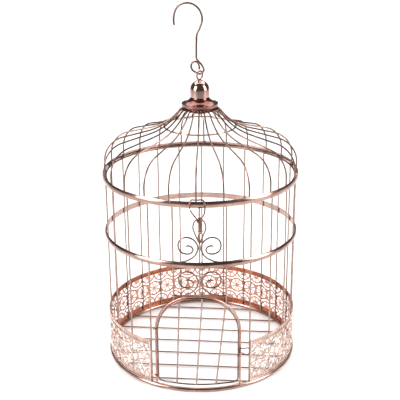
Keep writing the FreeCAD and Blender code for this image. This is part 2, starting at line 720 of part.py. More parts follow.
def top_point(angle):
    """Point of the last bend, from the steep rise back to level."""
    return (neck_end[0] - top_bend * (math.sin(steep) - math.sin(angle)),
            neck_end[1] + top_bend * (math.cos(angle) - math.cos(steep)))


level_start = top_point(0)
crown_height = level_start[1]


def profile_edges(turn):
    """The dome's profile as a chain of edges at one azimuth."""
    def at(point):
        """Point of the profile turned to this azimuth."""
        return around(turn, point[0], point[1])

    def arc(function, first, last):
        """Arc through three points of one curved part."""
        return Part.Arc(at(function(first)), at(function((first + last) / 2)), at(function(last))).toShape()

    return [
        Part.makeLine(at((foot_radius, size("dome_foot"))), at((foot_radius, shoulder_height))),
        arc(shoulder_point, 0, math.pi / 2 - slope),
        Part.makeLine(at(shoulder_end), at(bend_start)),
        arc(hollow_point, slope, steep),
        arc(top_point, steep, 0),
        Part.makeLine(at(level_start), at((size("dome_end"), crown_height))),
    ]


first_dome_wire = bent_wire(profile_edges(size("dome_turn")), size("wire_thick"))
dome = []
wire_total = int(size("wire_count"))
for number in range(wire_total):
    copy = first_dome_wire.copy()
    copy.rotate(Vector(), UP, 360.0 * number / wire_total)
    dome.append(copy)
formed("dome_wires", Part.makeCompound(dome))

neck_angle = math.asin(math.sin(slope) + (size("dome_bend_radius") - size("neck_ring_radius")) / hollow)
neck_drop = (size("wire_thick") - size("weld_sink")) / math.cos(neck_angle)
add_size("neck_height", hollow_point(neck_angle)[1] - neck_drop)
ring("neck_ring", "Sizes.neck_ring_radius", HALF_WIRE, "Sizes.neck_height")

# ---------------------------------------------------------------- finial

add_size("crown_low", crown_height - size("crown_thick") / 2)
add_size("crown_high", crown_height + size("crown_thick") / 2)
add_size("collar_low", size("crown_low") - size("collar_thick"))
add_size("bolt_hole", size("bolt_radius") + size("bolt_clearance"))
add_size("hub_top", size("crown_high") + size("hub_height"))
add_size("skirt_shoulder", size("hub_top") + size("skirt_edge"))
add_size("skirt_top", size("skirt_shoulder") + size("skirt_rise"))
add_size("bell_spring", size("skirt_top") + size("bell_wall"))
add_size("bell_mouth", size("bell_spring") + math.sqrt(size("bell_radius") ** 2 - size("bolt_hole") ** 2))

keep(turned("crown_disc", [
    ("bolt_hole", "collar_low", None),
    ("collar_radius", "collar_low", None),
    ("collar_radius", "crown_low", None),
    ("crown_radius", "crown_low", None),
    ("crown_radius", "crown_high", None),
    ("bolt_hole", "crown_high", None),
]), "crown_disc")

keep(turned("cap_skirt", [
    ("bolt_hole", "crown_high", None),
    ("hub_radius", "crown_high", None),
    ("hub_radius", "hub_top", None),
    ("skirt_radius", "hub_top", None),
    ("skirt_radius", "skirt_shoulder", "-skirt_hollow"),
    ("skirt_top_radius", "skirt_top", None),
    ("bolt_hole", "skirt_top", None),
]), "cap_skirt")

keep(turned("cap_bell", [
    ("bolt_hole", "skirt_top", None),
    ("bell_radius", "skirt_top", None),
    ("bell_radius", "bell_spring", "bell_radius"),
    ("bolt_hole", "bell_mouth", None),
]), "cap_bell")

add_size("nut_low", size("collar_low") - size("nut_thick"))
nut = doc.addObject("Part::Prism", "nut_blank")
nut.Polygon = 6
nut.setExpression("Circumradius", "Sizes.nut_flats / sqrt(3)")
nut.setExpression("Height", "Sizes.nut_thick")
nut.setExpression("Placement.Base.z", "Sizes.nut_low")
nut_hole = rod("nut_thread", "Sizes.bolt_hole", "Sizes.nut_thick * 3", "0", "0",
               "Sizes.nut_low - Sizes.nut_thick")
cap_nut = doc.addObject("Part::Cut", "cap_nut")
cap_nut.Base = nut
cap_nut.Tool = nut_hole
keep(cap_nut, "cap_nut")

eye_half = size("eye_thick") / 2
bell_top = size("bell_spring") + size("bell_radius")
add_size("eye_height", bell_top + size("eye_radius") + 2 * size("part_gap"))
add_size("bolt_low", size("nut_low") - size("bolt_radius"))
stem = rod("bolt_stem", "Sizes.bolt_radius", "Sizes.eye_height - Sizes.eye_radius - Sizes.bolt_low",
           "0", "0", "Sizes.bolt_low")
eye = doc.addObject("Part::Torus", "bolt_eye")
eye.setExpression("Radius1", "Sizes.eye_radius")
eye.setExpression("Radius2", "Sizes.eye_thick / 2")
eye_rotation = FreeCAD.Rotation(Vector(0, 0, 1), size("eye_turn")).multiply(
    FreeCAD.Rotation(Vector(1, 0, 0), 90))
eye.Placement = FreeCAD.Placement(Vector(0, 0, size("eye_height")), eye_rotation)
eye_bolt = doc.addObject("Part::Fuse", "cap_eye_bolt")
eye_bolt.Base = stem
eye_bolt.Tool = eye
keep(eye_bolt, "cap_eye_bolt")

# ---------------------------------------------------------------- hanging hook

# The hook's centre line in its own plane, as parts of its height: sideways, up, backwards.
HOOK = [
    (-0.389, 0.684, 0.0), (-0.395, 0.806, 0.0), (-0.338, 0.94, 0.0), (-0.186, 1.0, 0.0),
    (-0.034, 0.93, 0.0), (0.023, 0.798, 0.0), (-0.01, 0.66, 0.0), (-0.056, 0.56, 0.0),
    (-0.064, 0.45, 0.0), (-0.066, 0.3, 0.0), (-0.061, 0.215, 0.0), (-0.034, 0.181, 0.0),
    (0.024, 0.115, 0.0), (0.042, 0.058, 0.0), (0.009, 0.011, 0.0), (-0.029, 0.0, 0.0),
    (-0.071, 0.013, 0.01), (-0.139, 0.055, 0.022), (-0.155, 0.11, 0.03), (-0.128, 0.158, 0.036),
    (-0.077, 0.166, 0.038), (-0.042, 0.125, 0.038), (-0.038, 0.06, 0.038),
]
hook_low = size("eye_height") + size("eye_radius") - size("eye_thick") / 2 - size("hook_thick") / 2 \
    - 4 * size("part_gap")
hook_side = around(90 + size("hook_turn"), 1, 0)
hook_back = UP.cross(hook_side)
hook_scale = size("hook_height")
hook_points = [hook_side * (across * hook_scale + size("hook_shift")) + hook_back * (back * hook_scale)
               + UP * (hook_low + up * hook_scale) for across, up, back in HOOK]
formed("hanging_hook", bent_wire(spline(hook_points), size("hook_thick")))

# ---------------------------------------------------------------- lid hinge

pin_y = size("hoop_outer") + size("pin_out")
pin_z = size("hoop_low") + size("pin_rise")
add_size("pin_behind", pin_y)
add_size("pin_height", pin_z)
pin = rod("hinge_pin", "Sizes.pin_thick / 2", "Sizes.pin_length", "-Sizes.pin_length / 2",
          "Sizes.pin_behind", "Sizes.pin_height")
pin.Placement = FreeCAD.Placement(Vector(), FreeCAD.Rotation(Vector(0, 1, 0), 90))
keep(pin, "lid_hinge_pin")

eye_wire = size("hinge_wire")
pin_eye = size("pin_thick") / 2 + size("pin_clearance") + eye_wire / 2
SIDEWAYS = Vector(1, 0, 0)


def pin_eye_ring(x, grip=0.0):
    """Wire eye round the hinge pin; a gripped pin is held fast by it."""
    return Part.makeTorus(pin_eye - grip, eye_wire / 2, Vector(x, pin_y, pin_z), SIDEWAYS)


leg_y = size("wire_outer") + eye_wire / 2 - size("weld_sink")
bracket_leg = bent_wire(spline([
    Vector(0, pin_y, pin_z - pin_eye),
    Vector(0, pin_y - 1.6, pin_z - pin_eye - 0.9),
    Vector(0, leg_y + 0.6, pin_z - pin_eye - 2.7),
    Vector(0, leg_y, pin_z - pin_eye - 5.0),
    Vector(0, leg_y, pin_z - pin_eye - 11.0),
]), eye_wire)
pin_grip = 2 * size("pin_clearance")
formed("lid_hinge_bracket", pin_eye_ring(0, pin_grip).fuse(bracket_leg))

outer_strap = size("hoop_outer") + eye_wire / 2 - size("weld_sink")
inner_strap = size("hoop_inner") - eye_wire / 2 + size("weld_sink")
over = size("hoop_high") + eye_wire / 2 - size("weld_sink")
hinge_loops = []
for side in (-1, 1):
    x = side * size("hinge_spread")
    strap = bent_wire(spline([
        Vector(x, pin_y - pin_eye, pin_z),
        Vector(x, outer_strap, pin_z + 2.2),
        Vector(x, outer_strap, over - 1.0),
        Vector(x, outer_strap - 0.5, over - 0.1),
        Vector(x, (outer_strap + inner_strap) / 2, over + 0.1),
        Vector(x, inner_strap + 0.4, over - 0.1),
        Vector(x, inner_strap, over - 1.0),
        Vector(x, inner_strap, over - 3.0),
    ]), eye_wire)
    hinge_loops.append(pin_eye_ring(x).fuse(strap))
formed("lid_hinge_loops", Part.makeCompound(hinge_loops))

# ---------------------------------------------------------------- snap clip

clip_circle = size("hoop_outer") + size("clip_out")
barrel_top = size("hoop_low") - size("barrel_drop")
barrel_low = barrel_top - size("barrel_height")
add_size("barrel_top", barrel_top)
add_size("barrel_low", barrel_low)
add_size("barrel_low_neck", barrel_low + size("collar_height"))
add_size("barrel_high_neck", barrel_top - size("collar_height"))
add_size("barrel_mouth", size("swivel_radius") + size("pin_clearance"))
add_size("barrel_room", size("swivel_head") + size("pin_clearance"))
add_size("barrel_shelf", barrel_low + 2 * size("collar_height"))
add_size("barrel_roof", barrel_low + 5 * size("collar_height"))

barrel = turned("clip_barrel", [
    ("barrel_mouth", "barrel_low", None),
    ("barrel_collar", "barrel_low", None),
    ("barrel_collar", "barrel_low_neck", None),
    ("barrel_radius", "barrel_low_neck", None),
    ("barrel_radius", "barrel_high_neck", None),
    ("barrel_collar", "barrel_high_neck", None),
    ("barrel_collar", "barrel_top", None),
    ("0", "barrel_top", None),
    ("0", "barrel_roof", None),
    ("barrel_room", "barrel_roof", None),
    ("barrel_room", "barrel_shelf", None),
    ("barrel_mouth", "barrel_shelf", None),
])
barrel.Placement = FreeCAD.Placement(Vector(size("clip_x"), -clip_circle, 0), FreeCAD.Rotation())
keep(barrel, "clip_barrel")

clip_wire = size("clip_thick")
clip_x = size("clip_x")
hoop_top = size("hoop_high")
behind = size("hoop_inner") - size("wire_thick") - clip_wire - size("part_gap") * 1.2
dome_wire_x = around(size("dome_turn"), foot_radius, 0).x
claw = [
    (clip_x, clip_circle, barrel_top - 3.0),
    (clip_x + 0.5, clip_circle, barrel_top - 1.0),
    (clip_x + 3.4, clip_circle, barrel_top + 2.6),
    (clip_x + 5.0, clip_circle, barrel_top + 9.0),
    (clip_x + 4.7, size("hoop_outer") + 1.7, hoop_top - 0.6),
    (clip_x + 3.6, size("hoop_outer") - 0.5, hoop_top + 1.4),
    (clip_x + 1.2, behind + 1.7, hoop_top + 1.2),
    (dome_wire_x + 2.1, behind, hoop_top + 0.4),
    (dome_wire_x - 1.5, behind, hoop_top + 0.4),
    (dome_wire_x - 4.1, behind + 1.8, hoop_top + 1.2),
    (dome_wire_x - 5.6, size("hoop_outer") - 0.6, hoop_top + 1.4),
    (dome_wire_x - 6.5, size("hoop_outer") + 1.5, hoop_top - 0.3),
    (dome_wire_x - 6.7, clip_circle - 0.5, hoop_top - 3.6),
    (dome_wire_x - 6.4, clip_circle, hoop_top - 6.1),
]
claw_points = [Vector(x, -out, height) for x, out, height in claw]
formed("clip_claw", bent_wire(spline(claw_points), clip_wire))

pivot_x = clip_x - 1.6
pivot_z = barrel_top - 2.1
trigger_y = -(clip_circle + size("barrel_collar") + size("part_gap") + clip_wire / 2)
formed("clip_trigger_pin", Part.makeCylinder(
    size("trigger_pin") / 2, -trigger_y + clip_wire / 2 + 0.4 - clip_circle,
    Vector(pivot_x, -clip_circle, pivot_z), Vector(0, -1, 0)))

trigger_eye = size("trigger_pin") / 2 + size("pin_clearance") + clip_wire / 2
tip_x = dome_wire_x - 6.3
tip_z = hoop_top - 6.1 - size("part_gap") - 0.9
trigger_arm = bent_wire(spline([
    Vector(pivot_x - trigger_eye, trigger_y, pivot_z + 0.4),
    Vector(pivot_x - trigger_eye - 1.2, trigger_y + 0.3, pivot_z + 3.2),
    Vector((pivot_x + tip_x) / 2 - 1.2, trigger_y + 1.6, (pivot_z + tip_z) / 2 + 1.0),
    Vector(tip_x + 0.3, -clip_circle, tip_z),
]), clip_wire)
trigger = Part.makeTorus(trigger_eye, clip_wire / 2, Vector(pivot_x, trigger_y, pivot_z), Vector(0, 1, 0))
formed("clip_trigger", trigger.fuse(trigger_arm))

stem_low = barrel_low - size("swivel_drop")
swivel_half = size("swivel_half")
swivel_low = stem_low - size("swivel_height")


def swivel_point(across, height):
    """Point of the swivel eye's loop: sideways from the barrel's axis, height."""
    return Vector(clip_x + across, -clip_circle, height)


def swivel_bow(level, way):
    """Half circle that closes the loop at one end; way is 1 for the upper end."""
    return Part.Arc(swivel_point(-way * swivel_half, level), swivel_point(0, level + way * swivel_half),
                    swivel_point(way * swivel_half, level)).toShape()


bow_high = stem_low - swivel_half
bow_low = swivel_low + swivel_half
swivel_loop = bent_wire([
    Part.makeLine(swivel_point(-swivel_half, bow_low), swivel_point(-swivel_half, bow_high)),
    swivel_bow(bow_high, 1),
    Part.makeLine(swivel_point(swivel_half, bow_high), swivel_point(swivel_half, bow_low)),
    swivel_bow(bow_low, -1),
], size("hinge_wire"))
head_low = size("barrel_shelf") + size("head_gap")
stem = Part.makeCylinder(size("swivel_radius"), head_low + size("head_thick") / 2 - stem_low,
                         swivel_point(0, stem_low))
head = Part.makeCylinder(size("swivel_head"), size("head_thick"), swivel_point(0, head_low))
formed("clip_swivel_eye", stem.fuse([head, swivel_loop]))

# ---------------------------------------------------------------- placements of turned pieces

strip.setExpression("Placement.Rotation.Angle", "(Sizes.lace_gap_angle - 90) * 1 deg")
doc.recompute()

# ---------------------------------------------------------------- check and write

for item in doc.Objects:
    if "Invalid" in item.State or "Error" in item.State:
        raise RuntimeError("%s did not build" % item.Label)

for item in nodes:
    shape = item.Shape
    if shape.isNull() or not shape.isValid():
        raise RuntimeError("%s is not a valid shape" % item.Label)
    if not shape.Solids:
        raise RuntimeError("%s holds no solid" % item.Label)

for item in nodes:
    item.Shape.exportStep("parts/%s.step" % item.Label)
    print("%-20s %3d solids %10.1f mm3" % (item.Label, len(item.Shape.Solids), item.Shape.Volume))
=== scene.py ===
"""Looks of the rose gold birdcage card box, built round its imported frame."""

import logging
import math
from dataclasses import dataclass, field
from enum import Enum

import bmesh
import bpy
from mathutils import Matrix, Vector


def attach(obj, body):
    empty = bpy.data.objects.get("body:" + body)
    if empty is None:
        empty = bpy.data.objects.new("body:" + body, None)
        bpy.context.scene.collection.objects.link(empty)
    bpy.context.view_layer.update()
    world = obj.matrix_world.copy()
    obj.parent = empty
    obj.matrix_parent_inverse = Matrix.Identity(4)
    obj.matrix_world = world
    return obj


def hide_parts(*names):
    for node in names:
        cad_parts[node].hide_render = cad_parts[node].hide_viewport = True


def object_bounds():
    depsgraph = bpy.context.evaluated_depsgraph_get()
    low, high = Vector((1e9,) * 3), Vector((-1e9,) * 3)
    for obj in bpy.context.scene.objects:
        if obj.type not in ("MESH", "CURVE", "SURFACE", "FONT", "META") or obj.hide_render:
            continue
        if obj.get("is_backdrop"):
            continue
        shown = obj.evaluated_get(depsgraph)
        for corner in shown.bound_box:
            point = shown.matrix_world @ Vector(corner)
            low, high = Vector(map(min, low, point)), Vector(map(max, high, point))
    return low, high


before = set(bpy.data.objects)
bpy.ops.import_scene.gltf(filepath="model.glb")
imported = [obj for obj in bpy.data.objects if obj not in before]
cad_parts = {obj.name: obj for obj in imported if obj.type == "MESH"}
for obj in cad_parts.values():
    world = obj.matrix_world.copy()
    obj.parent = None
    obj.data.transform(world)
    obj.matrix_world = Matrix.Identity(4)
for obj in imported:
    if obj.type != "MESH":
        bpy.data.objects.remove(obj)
CAD_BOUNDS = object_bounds()
LOG = logging.getLogger("card_cage")
Point = tuple[float, float, float]
Colour = tuple[float, float, float]

# Half section of a rounded rib: places across it in shares of its width, and shares of its rise.
RIB_PROFILE = ((-0.5, 0.0), (-0.5, 0.45), (-0.24, 1.0), (0.24, 1.0), (0.5, 0.45), (0.5, 0.0))


class Slot(Enum):
    """Names of material slots."""

    WIRE = "rose_metal"
    LACE = "filigree_metal"


class Body(Enum):
    """Bodies that the pieces ride on."""

    CAGE = "cage"
    LID = "lid"


def as_lists(value: object) -> list | float:
    """Turn a box of vectors into plain lists of numbers.

    Args:
        value: A nested sequence of numbers or vectors.

    Returns:
        The same numbers in plain lists, or one plain number.
    """
    if hasattr(value, "__len__"):
        return [as_lists(part) for part in value]
    return round(float(value), 6)


# ---------------------------------------------------------------- finishes


class NodeMaker:
    """Small helper that places and links shader nodes."""

    def __init__(self, name: str) -> None:
        """Start an empty material.

        Args:
            name: Name of the new material.
        """
        self.material = bpy.data.materials.new(name)
        self.material.use_nodes = True
        self.tree = self.material.node_tree
        self.tree.nodes.clear()
        self.output = self.tree.nodes.new("ShaderNodeOutputMaterial")
        self.shader = self.tree.nodes.new("ShaderNodeBsdfPrincipled")
        self.link(self.shader, "BSDF", self.output, "Surface")
        self.place = self.tree.nodes.new("ShaderNodeTexCoord")

    def link(self, source: bpy.types.Node, out: str | int, target: bpy.types.Node,
             into: str | int) -> None:
        """Join one node's output to another's input.

        Args:
            source: Node to read.
            out: Name or number of its output.
            target: Node to feed.
            into: Name or number of its input.
        """
        self.tree.links.new(source.outputs[out], target.inputs[into])

    def noise(self, scale: float, detail: float, rough: float) -> bpy.types.Node:
        """Noise over the object's own coordinates.

        Args:
            scale: Grain of the noise per metre.
            detail: Octaves.
            rough: Weight of the finer octaves.

        Returns:
            The noise node.
        """
        node = self.tree.nodes.new("ShaderNodeTexNoise")
        node.inputs["Scale"].default_value = scale
        node.inputs["Detail"].default_value = detail
        node.inputs["Roughness"].default_value = rough
        self.link(self.place, "Object", node, "Vector")
        return node

    def ramp(self, source: bpy.types.Node, out: str, stops: list[tuple[float, Colour]]) -> bpy.types.Node:
        """Colour ramp driven by one output.

        Args:
            source: Node that drives the ramp.
            out: Name of its output.
            stops: Positions and linear colours.

        Returns:
            The ramp node.
        """
        node = self.tree.nodes.new("ShaderNodeValToRGB")
        elements = node.color_ramp.elements
        while len(elements) < len(stops):
            elements.new(0.5)
        for element, (position, colour) in zip(elements, stops):
            element.position = position
            element.color = (*colour, 1.0)
        self.link(source, out, node, "Fac")
        return node

    def spread(self, source: bpy.types.Node, out: str, low: float, high: float,
               start: float = 0.3, stop: float = 0.7) -> bpy.types.Node:
        """Map one output to a range of values.

        Args:
            source: Node to read.
            out: Name of its output.
            low: Result at the start of the input range.
            high: Result at its end.
            start: Start of the input range.
            stop: End of the input range.

        Returns:
            The map range node.
        """
        node = self.tree.nodes.new("ShaderNodeMapRange")
        node.inputs["From Min"].default_value = start
        node.inputs["From Max"].default_value = stop
        node.inputs["To Min"].default_value = low
        node.inputs["To Max"].default_value = high
        self.link(source, out, node, "Value")
        return node

    def mix(self, factor: bpy.types.Node, out: str, first: bpy.types.Node,
            second: bpy.types.Node) -> bpy.types.Node:
        """Blend two colour outputs.

        Args:
            factor: Node that gives the blend.
            out: Name of its output.
            first: Colour where the blend is nothing.
            second: Colour where the blend is full.

        Returns:
            The mix node.
        """
        node = self.tree.nodes.new("ShaderNodeMixRGB")
        self.link(factor, out, node, "Fac")
        self.link(first, 0, node, "Color1")
        self.link(second, 0, node, "Color2")
        return node

    def bump(self, source: bpy.types.Node, out: str, height: float, strength: float) -> bpy.types.Node:
        """Bump from one output, feeding the shader's normal.

        Args:
            source: Node that gives the height.
            out: Name of its output.
            height: Height of full relief, metres.
            strength: Weight of the bump.

        Returns:
            The bump node.
        """
        node = self.tree.nodes.new("ShaderNodeBump")
        node.inputs["Distance"].default_value = height
        node.inputs["Strength"].default_value = strength
        self.link(source, out, node, "Height")
        self.link(node, "Normal", self.shader, "Normal")
        return node


@dataclass(frozen=True)
class PlatedMetal:
    """Rose gold plating: warm patches, thin tarnish, rubbed edges and fine handling marks."""

    name: str
    deep: Colour
    middle: Colour
    light: Colour
    worn: Colour
    tarnish: Colour
    gloss_low: float
    gloss_high: float
    patch_scale: float = 60.0
    mark_scale: float = 900.0
    mark_height: float = 0.00004
    mark_strength: float = 0.25
    tarnish_share: float = 0.35
    clear_coat: float = 0.15

    def build(self) -> bpy.types.Material:
        """Make the material.

        Returns:
            The finished node material.
        """
        maker = NodeMaker(self.name)
        patches = maker.noise(self.patch_scale, 5.0, 0.55)
        tone = maker.ramp(patches, "Fac", [(0.25, self.deep), (0.5, self.middle), (0.78, self.light)])
        stain_noise = maker.noise(self.patch_scale * 3.3, 7.0, 0.65)
        stain = maker.ramp(stain_noise, "Fac", [(0.0, self.tarnish), (1.0, self.tarnish)])
        stain_share = maker.spread(stain_noise, "Fac", 0.0, self.tarnish_share, 0.52, 0.72)
        stained = maker.mix(stain_share, "Result", tone, stain)
        shape = maker.tree.nodes.new("ShaderNodeNewGeometry")
        wear_share = maker.spread(shape, "Pointiness", 0.0, 0.7, 0.54, 0.66)
        wear = maker.ramp(stain_noise, "Fac", [(0.3, self.worn), (0.8, self.light)])
        worn = maker.mix(wear_share, "Result", stained, wear)
        maker.link(worn, 0, maker.shader, "Base Color")
        marks = maker.noise(self.mark_scale, 4.0, 0.6)
        gloss = maker.spread(stain_noise, "Fac", self.gloss_low, self.gloss_high, 0.35, 0.7)
        maker.link(gloss, "Result", maker.shader, "Roughness")
        maker.bump(marks, "Fac", self.mark_height, self.mark_strength)
        maker.shader.inputs["Metallic"].default_value = 1.0
        maker.shader.inputs["Coat Weight"].default_value = self.clear_coat
        maker.shader.inputs["Coat Roughness"].default_value = 0.12
        return maker.material


# Painted shade: the wire copy of the rose gold plating is darkened far below the metal's own colour, so the
# wires show dark cores as if dark surroundings were reflected in them.
WIRE_SHADED_METAL = PlatedMetal(
    "rose_gold_wire_painted_shade", deep=(0.085, 0.046, 0.037), middle=(0.16, 0.092, 0.074), light=(0.29, 0.18, 0.145),
    worn=(0.66, 0.48, 0.41), tarnish=(0.045, 0.026, 0.021), gloss_low=0.14, gloss_high=0.26)
# Painted highlight: the rings and bands are a paler copy of the same plating, so they read pale and bright as
# if lit.
BAND_PAINTED_HIGHLIGHT_METAL = PlatedMetal(
    "rose_gold_band_painted_highlight", deep=(0.24, 0.135, 0.108), middle=(0.38, 0.235, 0.19), light=(0.56, 0.38, 0.32),
    worn=(0.84, 0.64, 0.56), tarnish=(0.12, 0.062, 0.05), gloss_low=0.14, gloss_high=0.26)
# Painted highlight: the filigree's outside is a pale pink-cream copy of the plating, as where light falls on
# it.
LACE_PAINTED_HIGHLIGHT_METAL = PlatedMetal(
    "rose_gold_lace", deep=(0.34, 0.21, 0.17), middle=(0.52, 0.36, 0.305), light=(0.70, 0.53, 0.46),
    worn=(0.90, 0.75, 0.68), tarnish=(0.19, 0.10, 0.08), gloss_low=0.2, gloss_high=0.34,
    patch_scale=110.0, mark_scale=1500.0)
# Painted highlight: the door and its jamb are a paler, pinker copy of the wire plating, as if lit from the
# left.
DOOR_PAINTED_HIGHLIGHT_METAL = PlatedMetal(
    "rose_gold_door_painted_highlight", deep=(0.26, 0.12, 0.088), middle=(0.42, 0.22, 0.17), light=(0.60, 0.36, 0.29),
    worn=(0.88, 0.66, 0.57), tarnish=(0.13, 0.058, 0.044), gloss_low=0.16, gloss_high=0.3)
# Painted reflection: the inward faces of the filigree get this saturated orange copper copy of the plating,
# standing in for the warm light the metal throws back inside the cage.
LACE_INSIDE_PAINTED_REFLECTION = PlatedMetal(
    "rose_gold_lace_inside_painted_reflection", deep=(0.26, 0.072, 0.035), middle=(0.42, 0.14, 0.075), light=(0.58, 0.23, 0.135),
    worn=(0.84, 0.46, 0.31), tarnish=(0.10, 0.028, 0.016), gloss_low=0.22, gloss_high=0.36,
    patch_scale=110.0, mark_scale=1500.0)
# Painted shade: the skirt, crown disc, nut and eye bolt are a dark maroon copy of the plating, standing in
# for the shade under the cap.
SKIRT_PAINTED_SHADE_METAL = PlatedMetal(
    "rose_gold_skirt_painted_shade", deep=(0.13, 0.042, 0.034), middle=(0.23, 0.088, 0.07), light=(0.36, 0.17, 0.135),
    worn=(0.80, 0.52, 0.43), tarnish=(0.08, 0.024, 0.02), gloss_low=0.12, gloss_high=0.24,
    patch_scale=70.0, mark_scale=800.0, tarnish_share=0.3, clear_coat=0.2)
CAP_FINISH = PlatedMetal(
    "rose_gold_cap", deep=(0.36, 0.19, 0.15), middle=(0.52, 0.32, 0.265), light=(0.68, 0.47, 0.40),
    worn=(0.88, 0.68, 0.60), tarnish=(0.20, 0.08, 0.06), gloss_low=0.07, gloss_high=0.14,
    patch_scale=40.0, mark_scale=700.0, mark_strength=0.08, tarnish_share=0.18, clear_coat=0.35)
CLIP_FINISH = PlatedMetal(
    "rose_gold_clip", deep=(0.12, 0.050, 0.036), middle=(0.22, 0.105, 0.078), light=(0.42, 0.24, 0.19),
    worn=(0.84, 0.62, 0.53), tarnish=(0.05, 0.022, 0.017), gloss_low=0.10, gloss_high=0.2)


# ---------------------------------------------------------------- mesh work


class MeshMaker:
    """Gathers points and faces of one piece and turns them into an object."""

    def __init__(self) -> None:
        """Start empty."""
        self.points: list[Point] = []
        self.faces: list[tuple[int, ...]] = []

    def loft(self, rows: list[list[Vector]], closed: bool) -> None:
        """Skin a row of cross sections; open ones get flat ends.

        Args:
            rows: Cross sections of equal length, each a closed loop.
            closed: Whether the last section joins the first.
        """
        base = len(self.points)
        width = len(rows[0])
        for row in rows:
            self.points.extend(tuple(point) for point in row)
        count = len(rows)
        for step in range(count if closed else count - 1):
            following = (step + 1) % count
            for side in range(width):
                beside = (side + 1) % width
                self.faces.append((base + step * width + side, base + step * width + beside,
                                   base + following * width + beside, base + following * width + side))
        if not closed:
            self.faces.append(tuple(base + side for side in reversed(range(width))))
            self.faces.append(tuple(base + (count - 1) * width + side for side in range(width)))

    def dome(self, centre: Vector, out: Vector, radius: float, height: float,
             sides: int = 10, rings: int = 4) -> None:
        """A closed low dome, such as a bead or a weld.

        Args:
            centre: Middle of its foot.
            out: Direction it stands in.
            radius: Radius of its foot.
            height: Height of its top.
            sides: Points round it.
            rings: Rows from foot to top.
        """
        out = out.normalized()
        across = out.orthogonal().normalized()
        beside = out.cross(across)
        base = len(self.points)
        for ring in range(rings):
            lift = math.pi / 2 * ring / rings
            for side in range(sides):
                turn = 2 * math.pi * side / sides
                reach = radius * math.cos(lift)
                self.points.append(tuple(centre + across * (reach * math.cos(turn))
                                         + beside * (reach * math.sin(turn))
                                         + out * (height * math.sin(lift))))
        top = len(self.points)
        self.points.append(tuple(centre + out * height))
        for ring in range(rings - 1):
            for side in range(sides):
                after = (side + 1) % sides
                self.faces.append((base + ring * sides + side, base + ring * sides + after,
                                   base + (ring + 1) * sides + after, base + (ring + 1) * sides + side))
        last = base + (rings - 1) * sides
        for side in range(sides):
            self.faces.append((last + side, last + (side + 1) % sides, top))
        self.faces.append(tuple(base + side for side in reversed(range(sides))))

    def build(self, name: str, material: bpy.types.Material, body: Body, slot: Slot,
              smooth_below: float = 50.0) -> bpy.types.Object:
        """Make the object and let it ride.

        Args:
            name: Name of the piece.
            material: Its finish.
            body: Body it rides on.
            slot: Not used.
            smooth_below: Edges that turn less than this many degrees are shaded smooth.

        Returns:
            The new object.
        """
        mesh = bpy.data.meshes.new(name)
        mesh.from_pydata(self.points, [], self.faces)
        mesh.validate()
        surface = bmesh.new()
        surface.from_mesh(mesh)
        bmesh.ops.recalc_face_normals(surface, faces=surface.faces)
        surface.to_mesh(mesh)
        surface.free()
        mesh.materials.append(material)
        piece = bpy.data.objects.new(name, mesh)
        bpy.context.scene.collection.objects.link(piece)
        mesh.shade_smooth()
        mesh.set_sharp_from_angle(angle=math.radians(smooth_below))
        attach(piece, body.value)
        return piece


def around(angle: float, radius: float, height: float) -> Vector:
    """Point at an angle from the front, growing towards +X.

    Args:
        angle: Angle in radians.
        radius: Distance from the upright axis.
        height: Height above the floor.

    Returns:
        The point.
    """
    return Vector((radius * math.sin(angle), -radius * math.cos(angle), height))


# ---------------------------------------------------------------- filigree


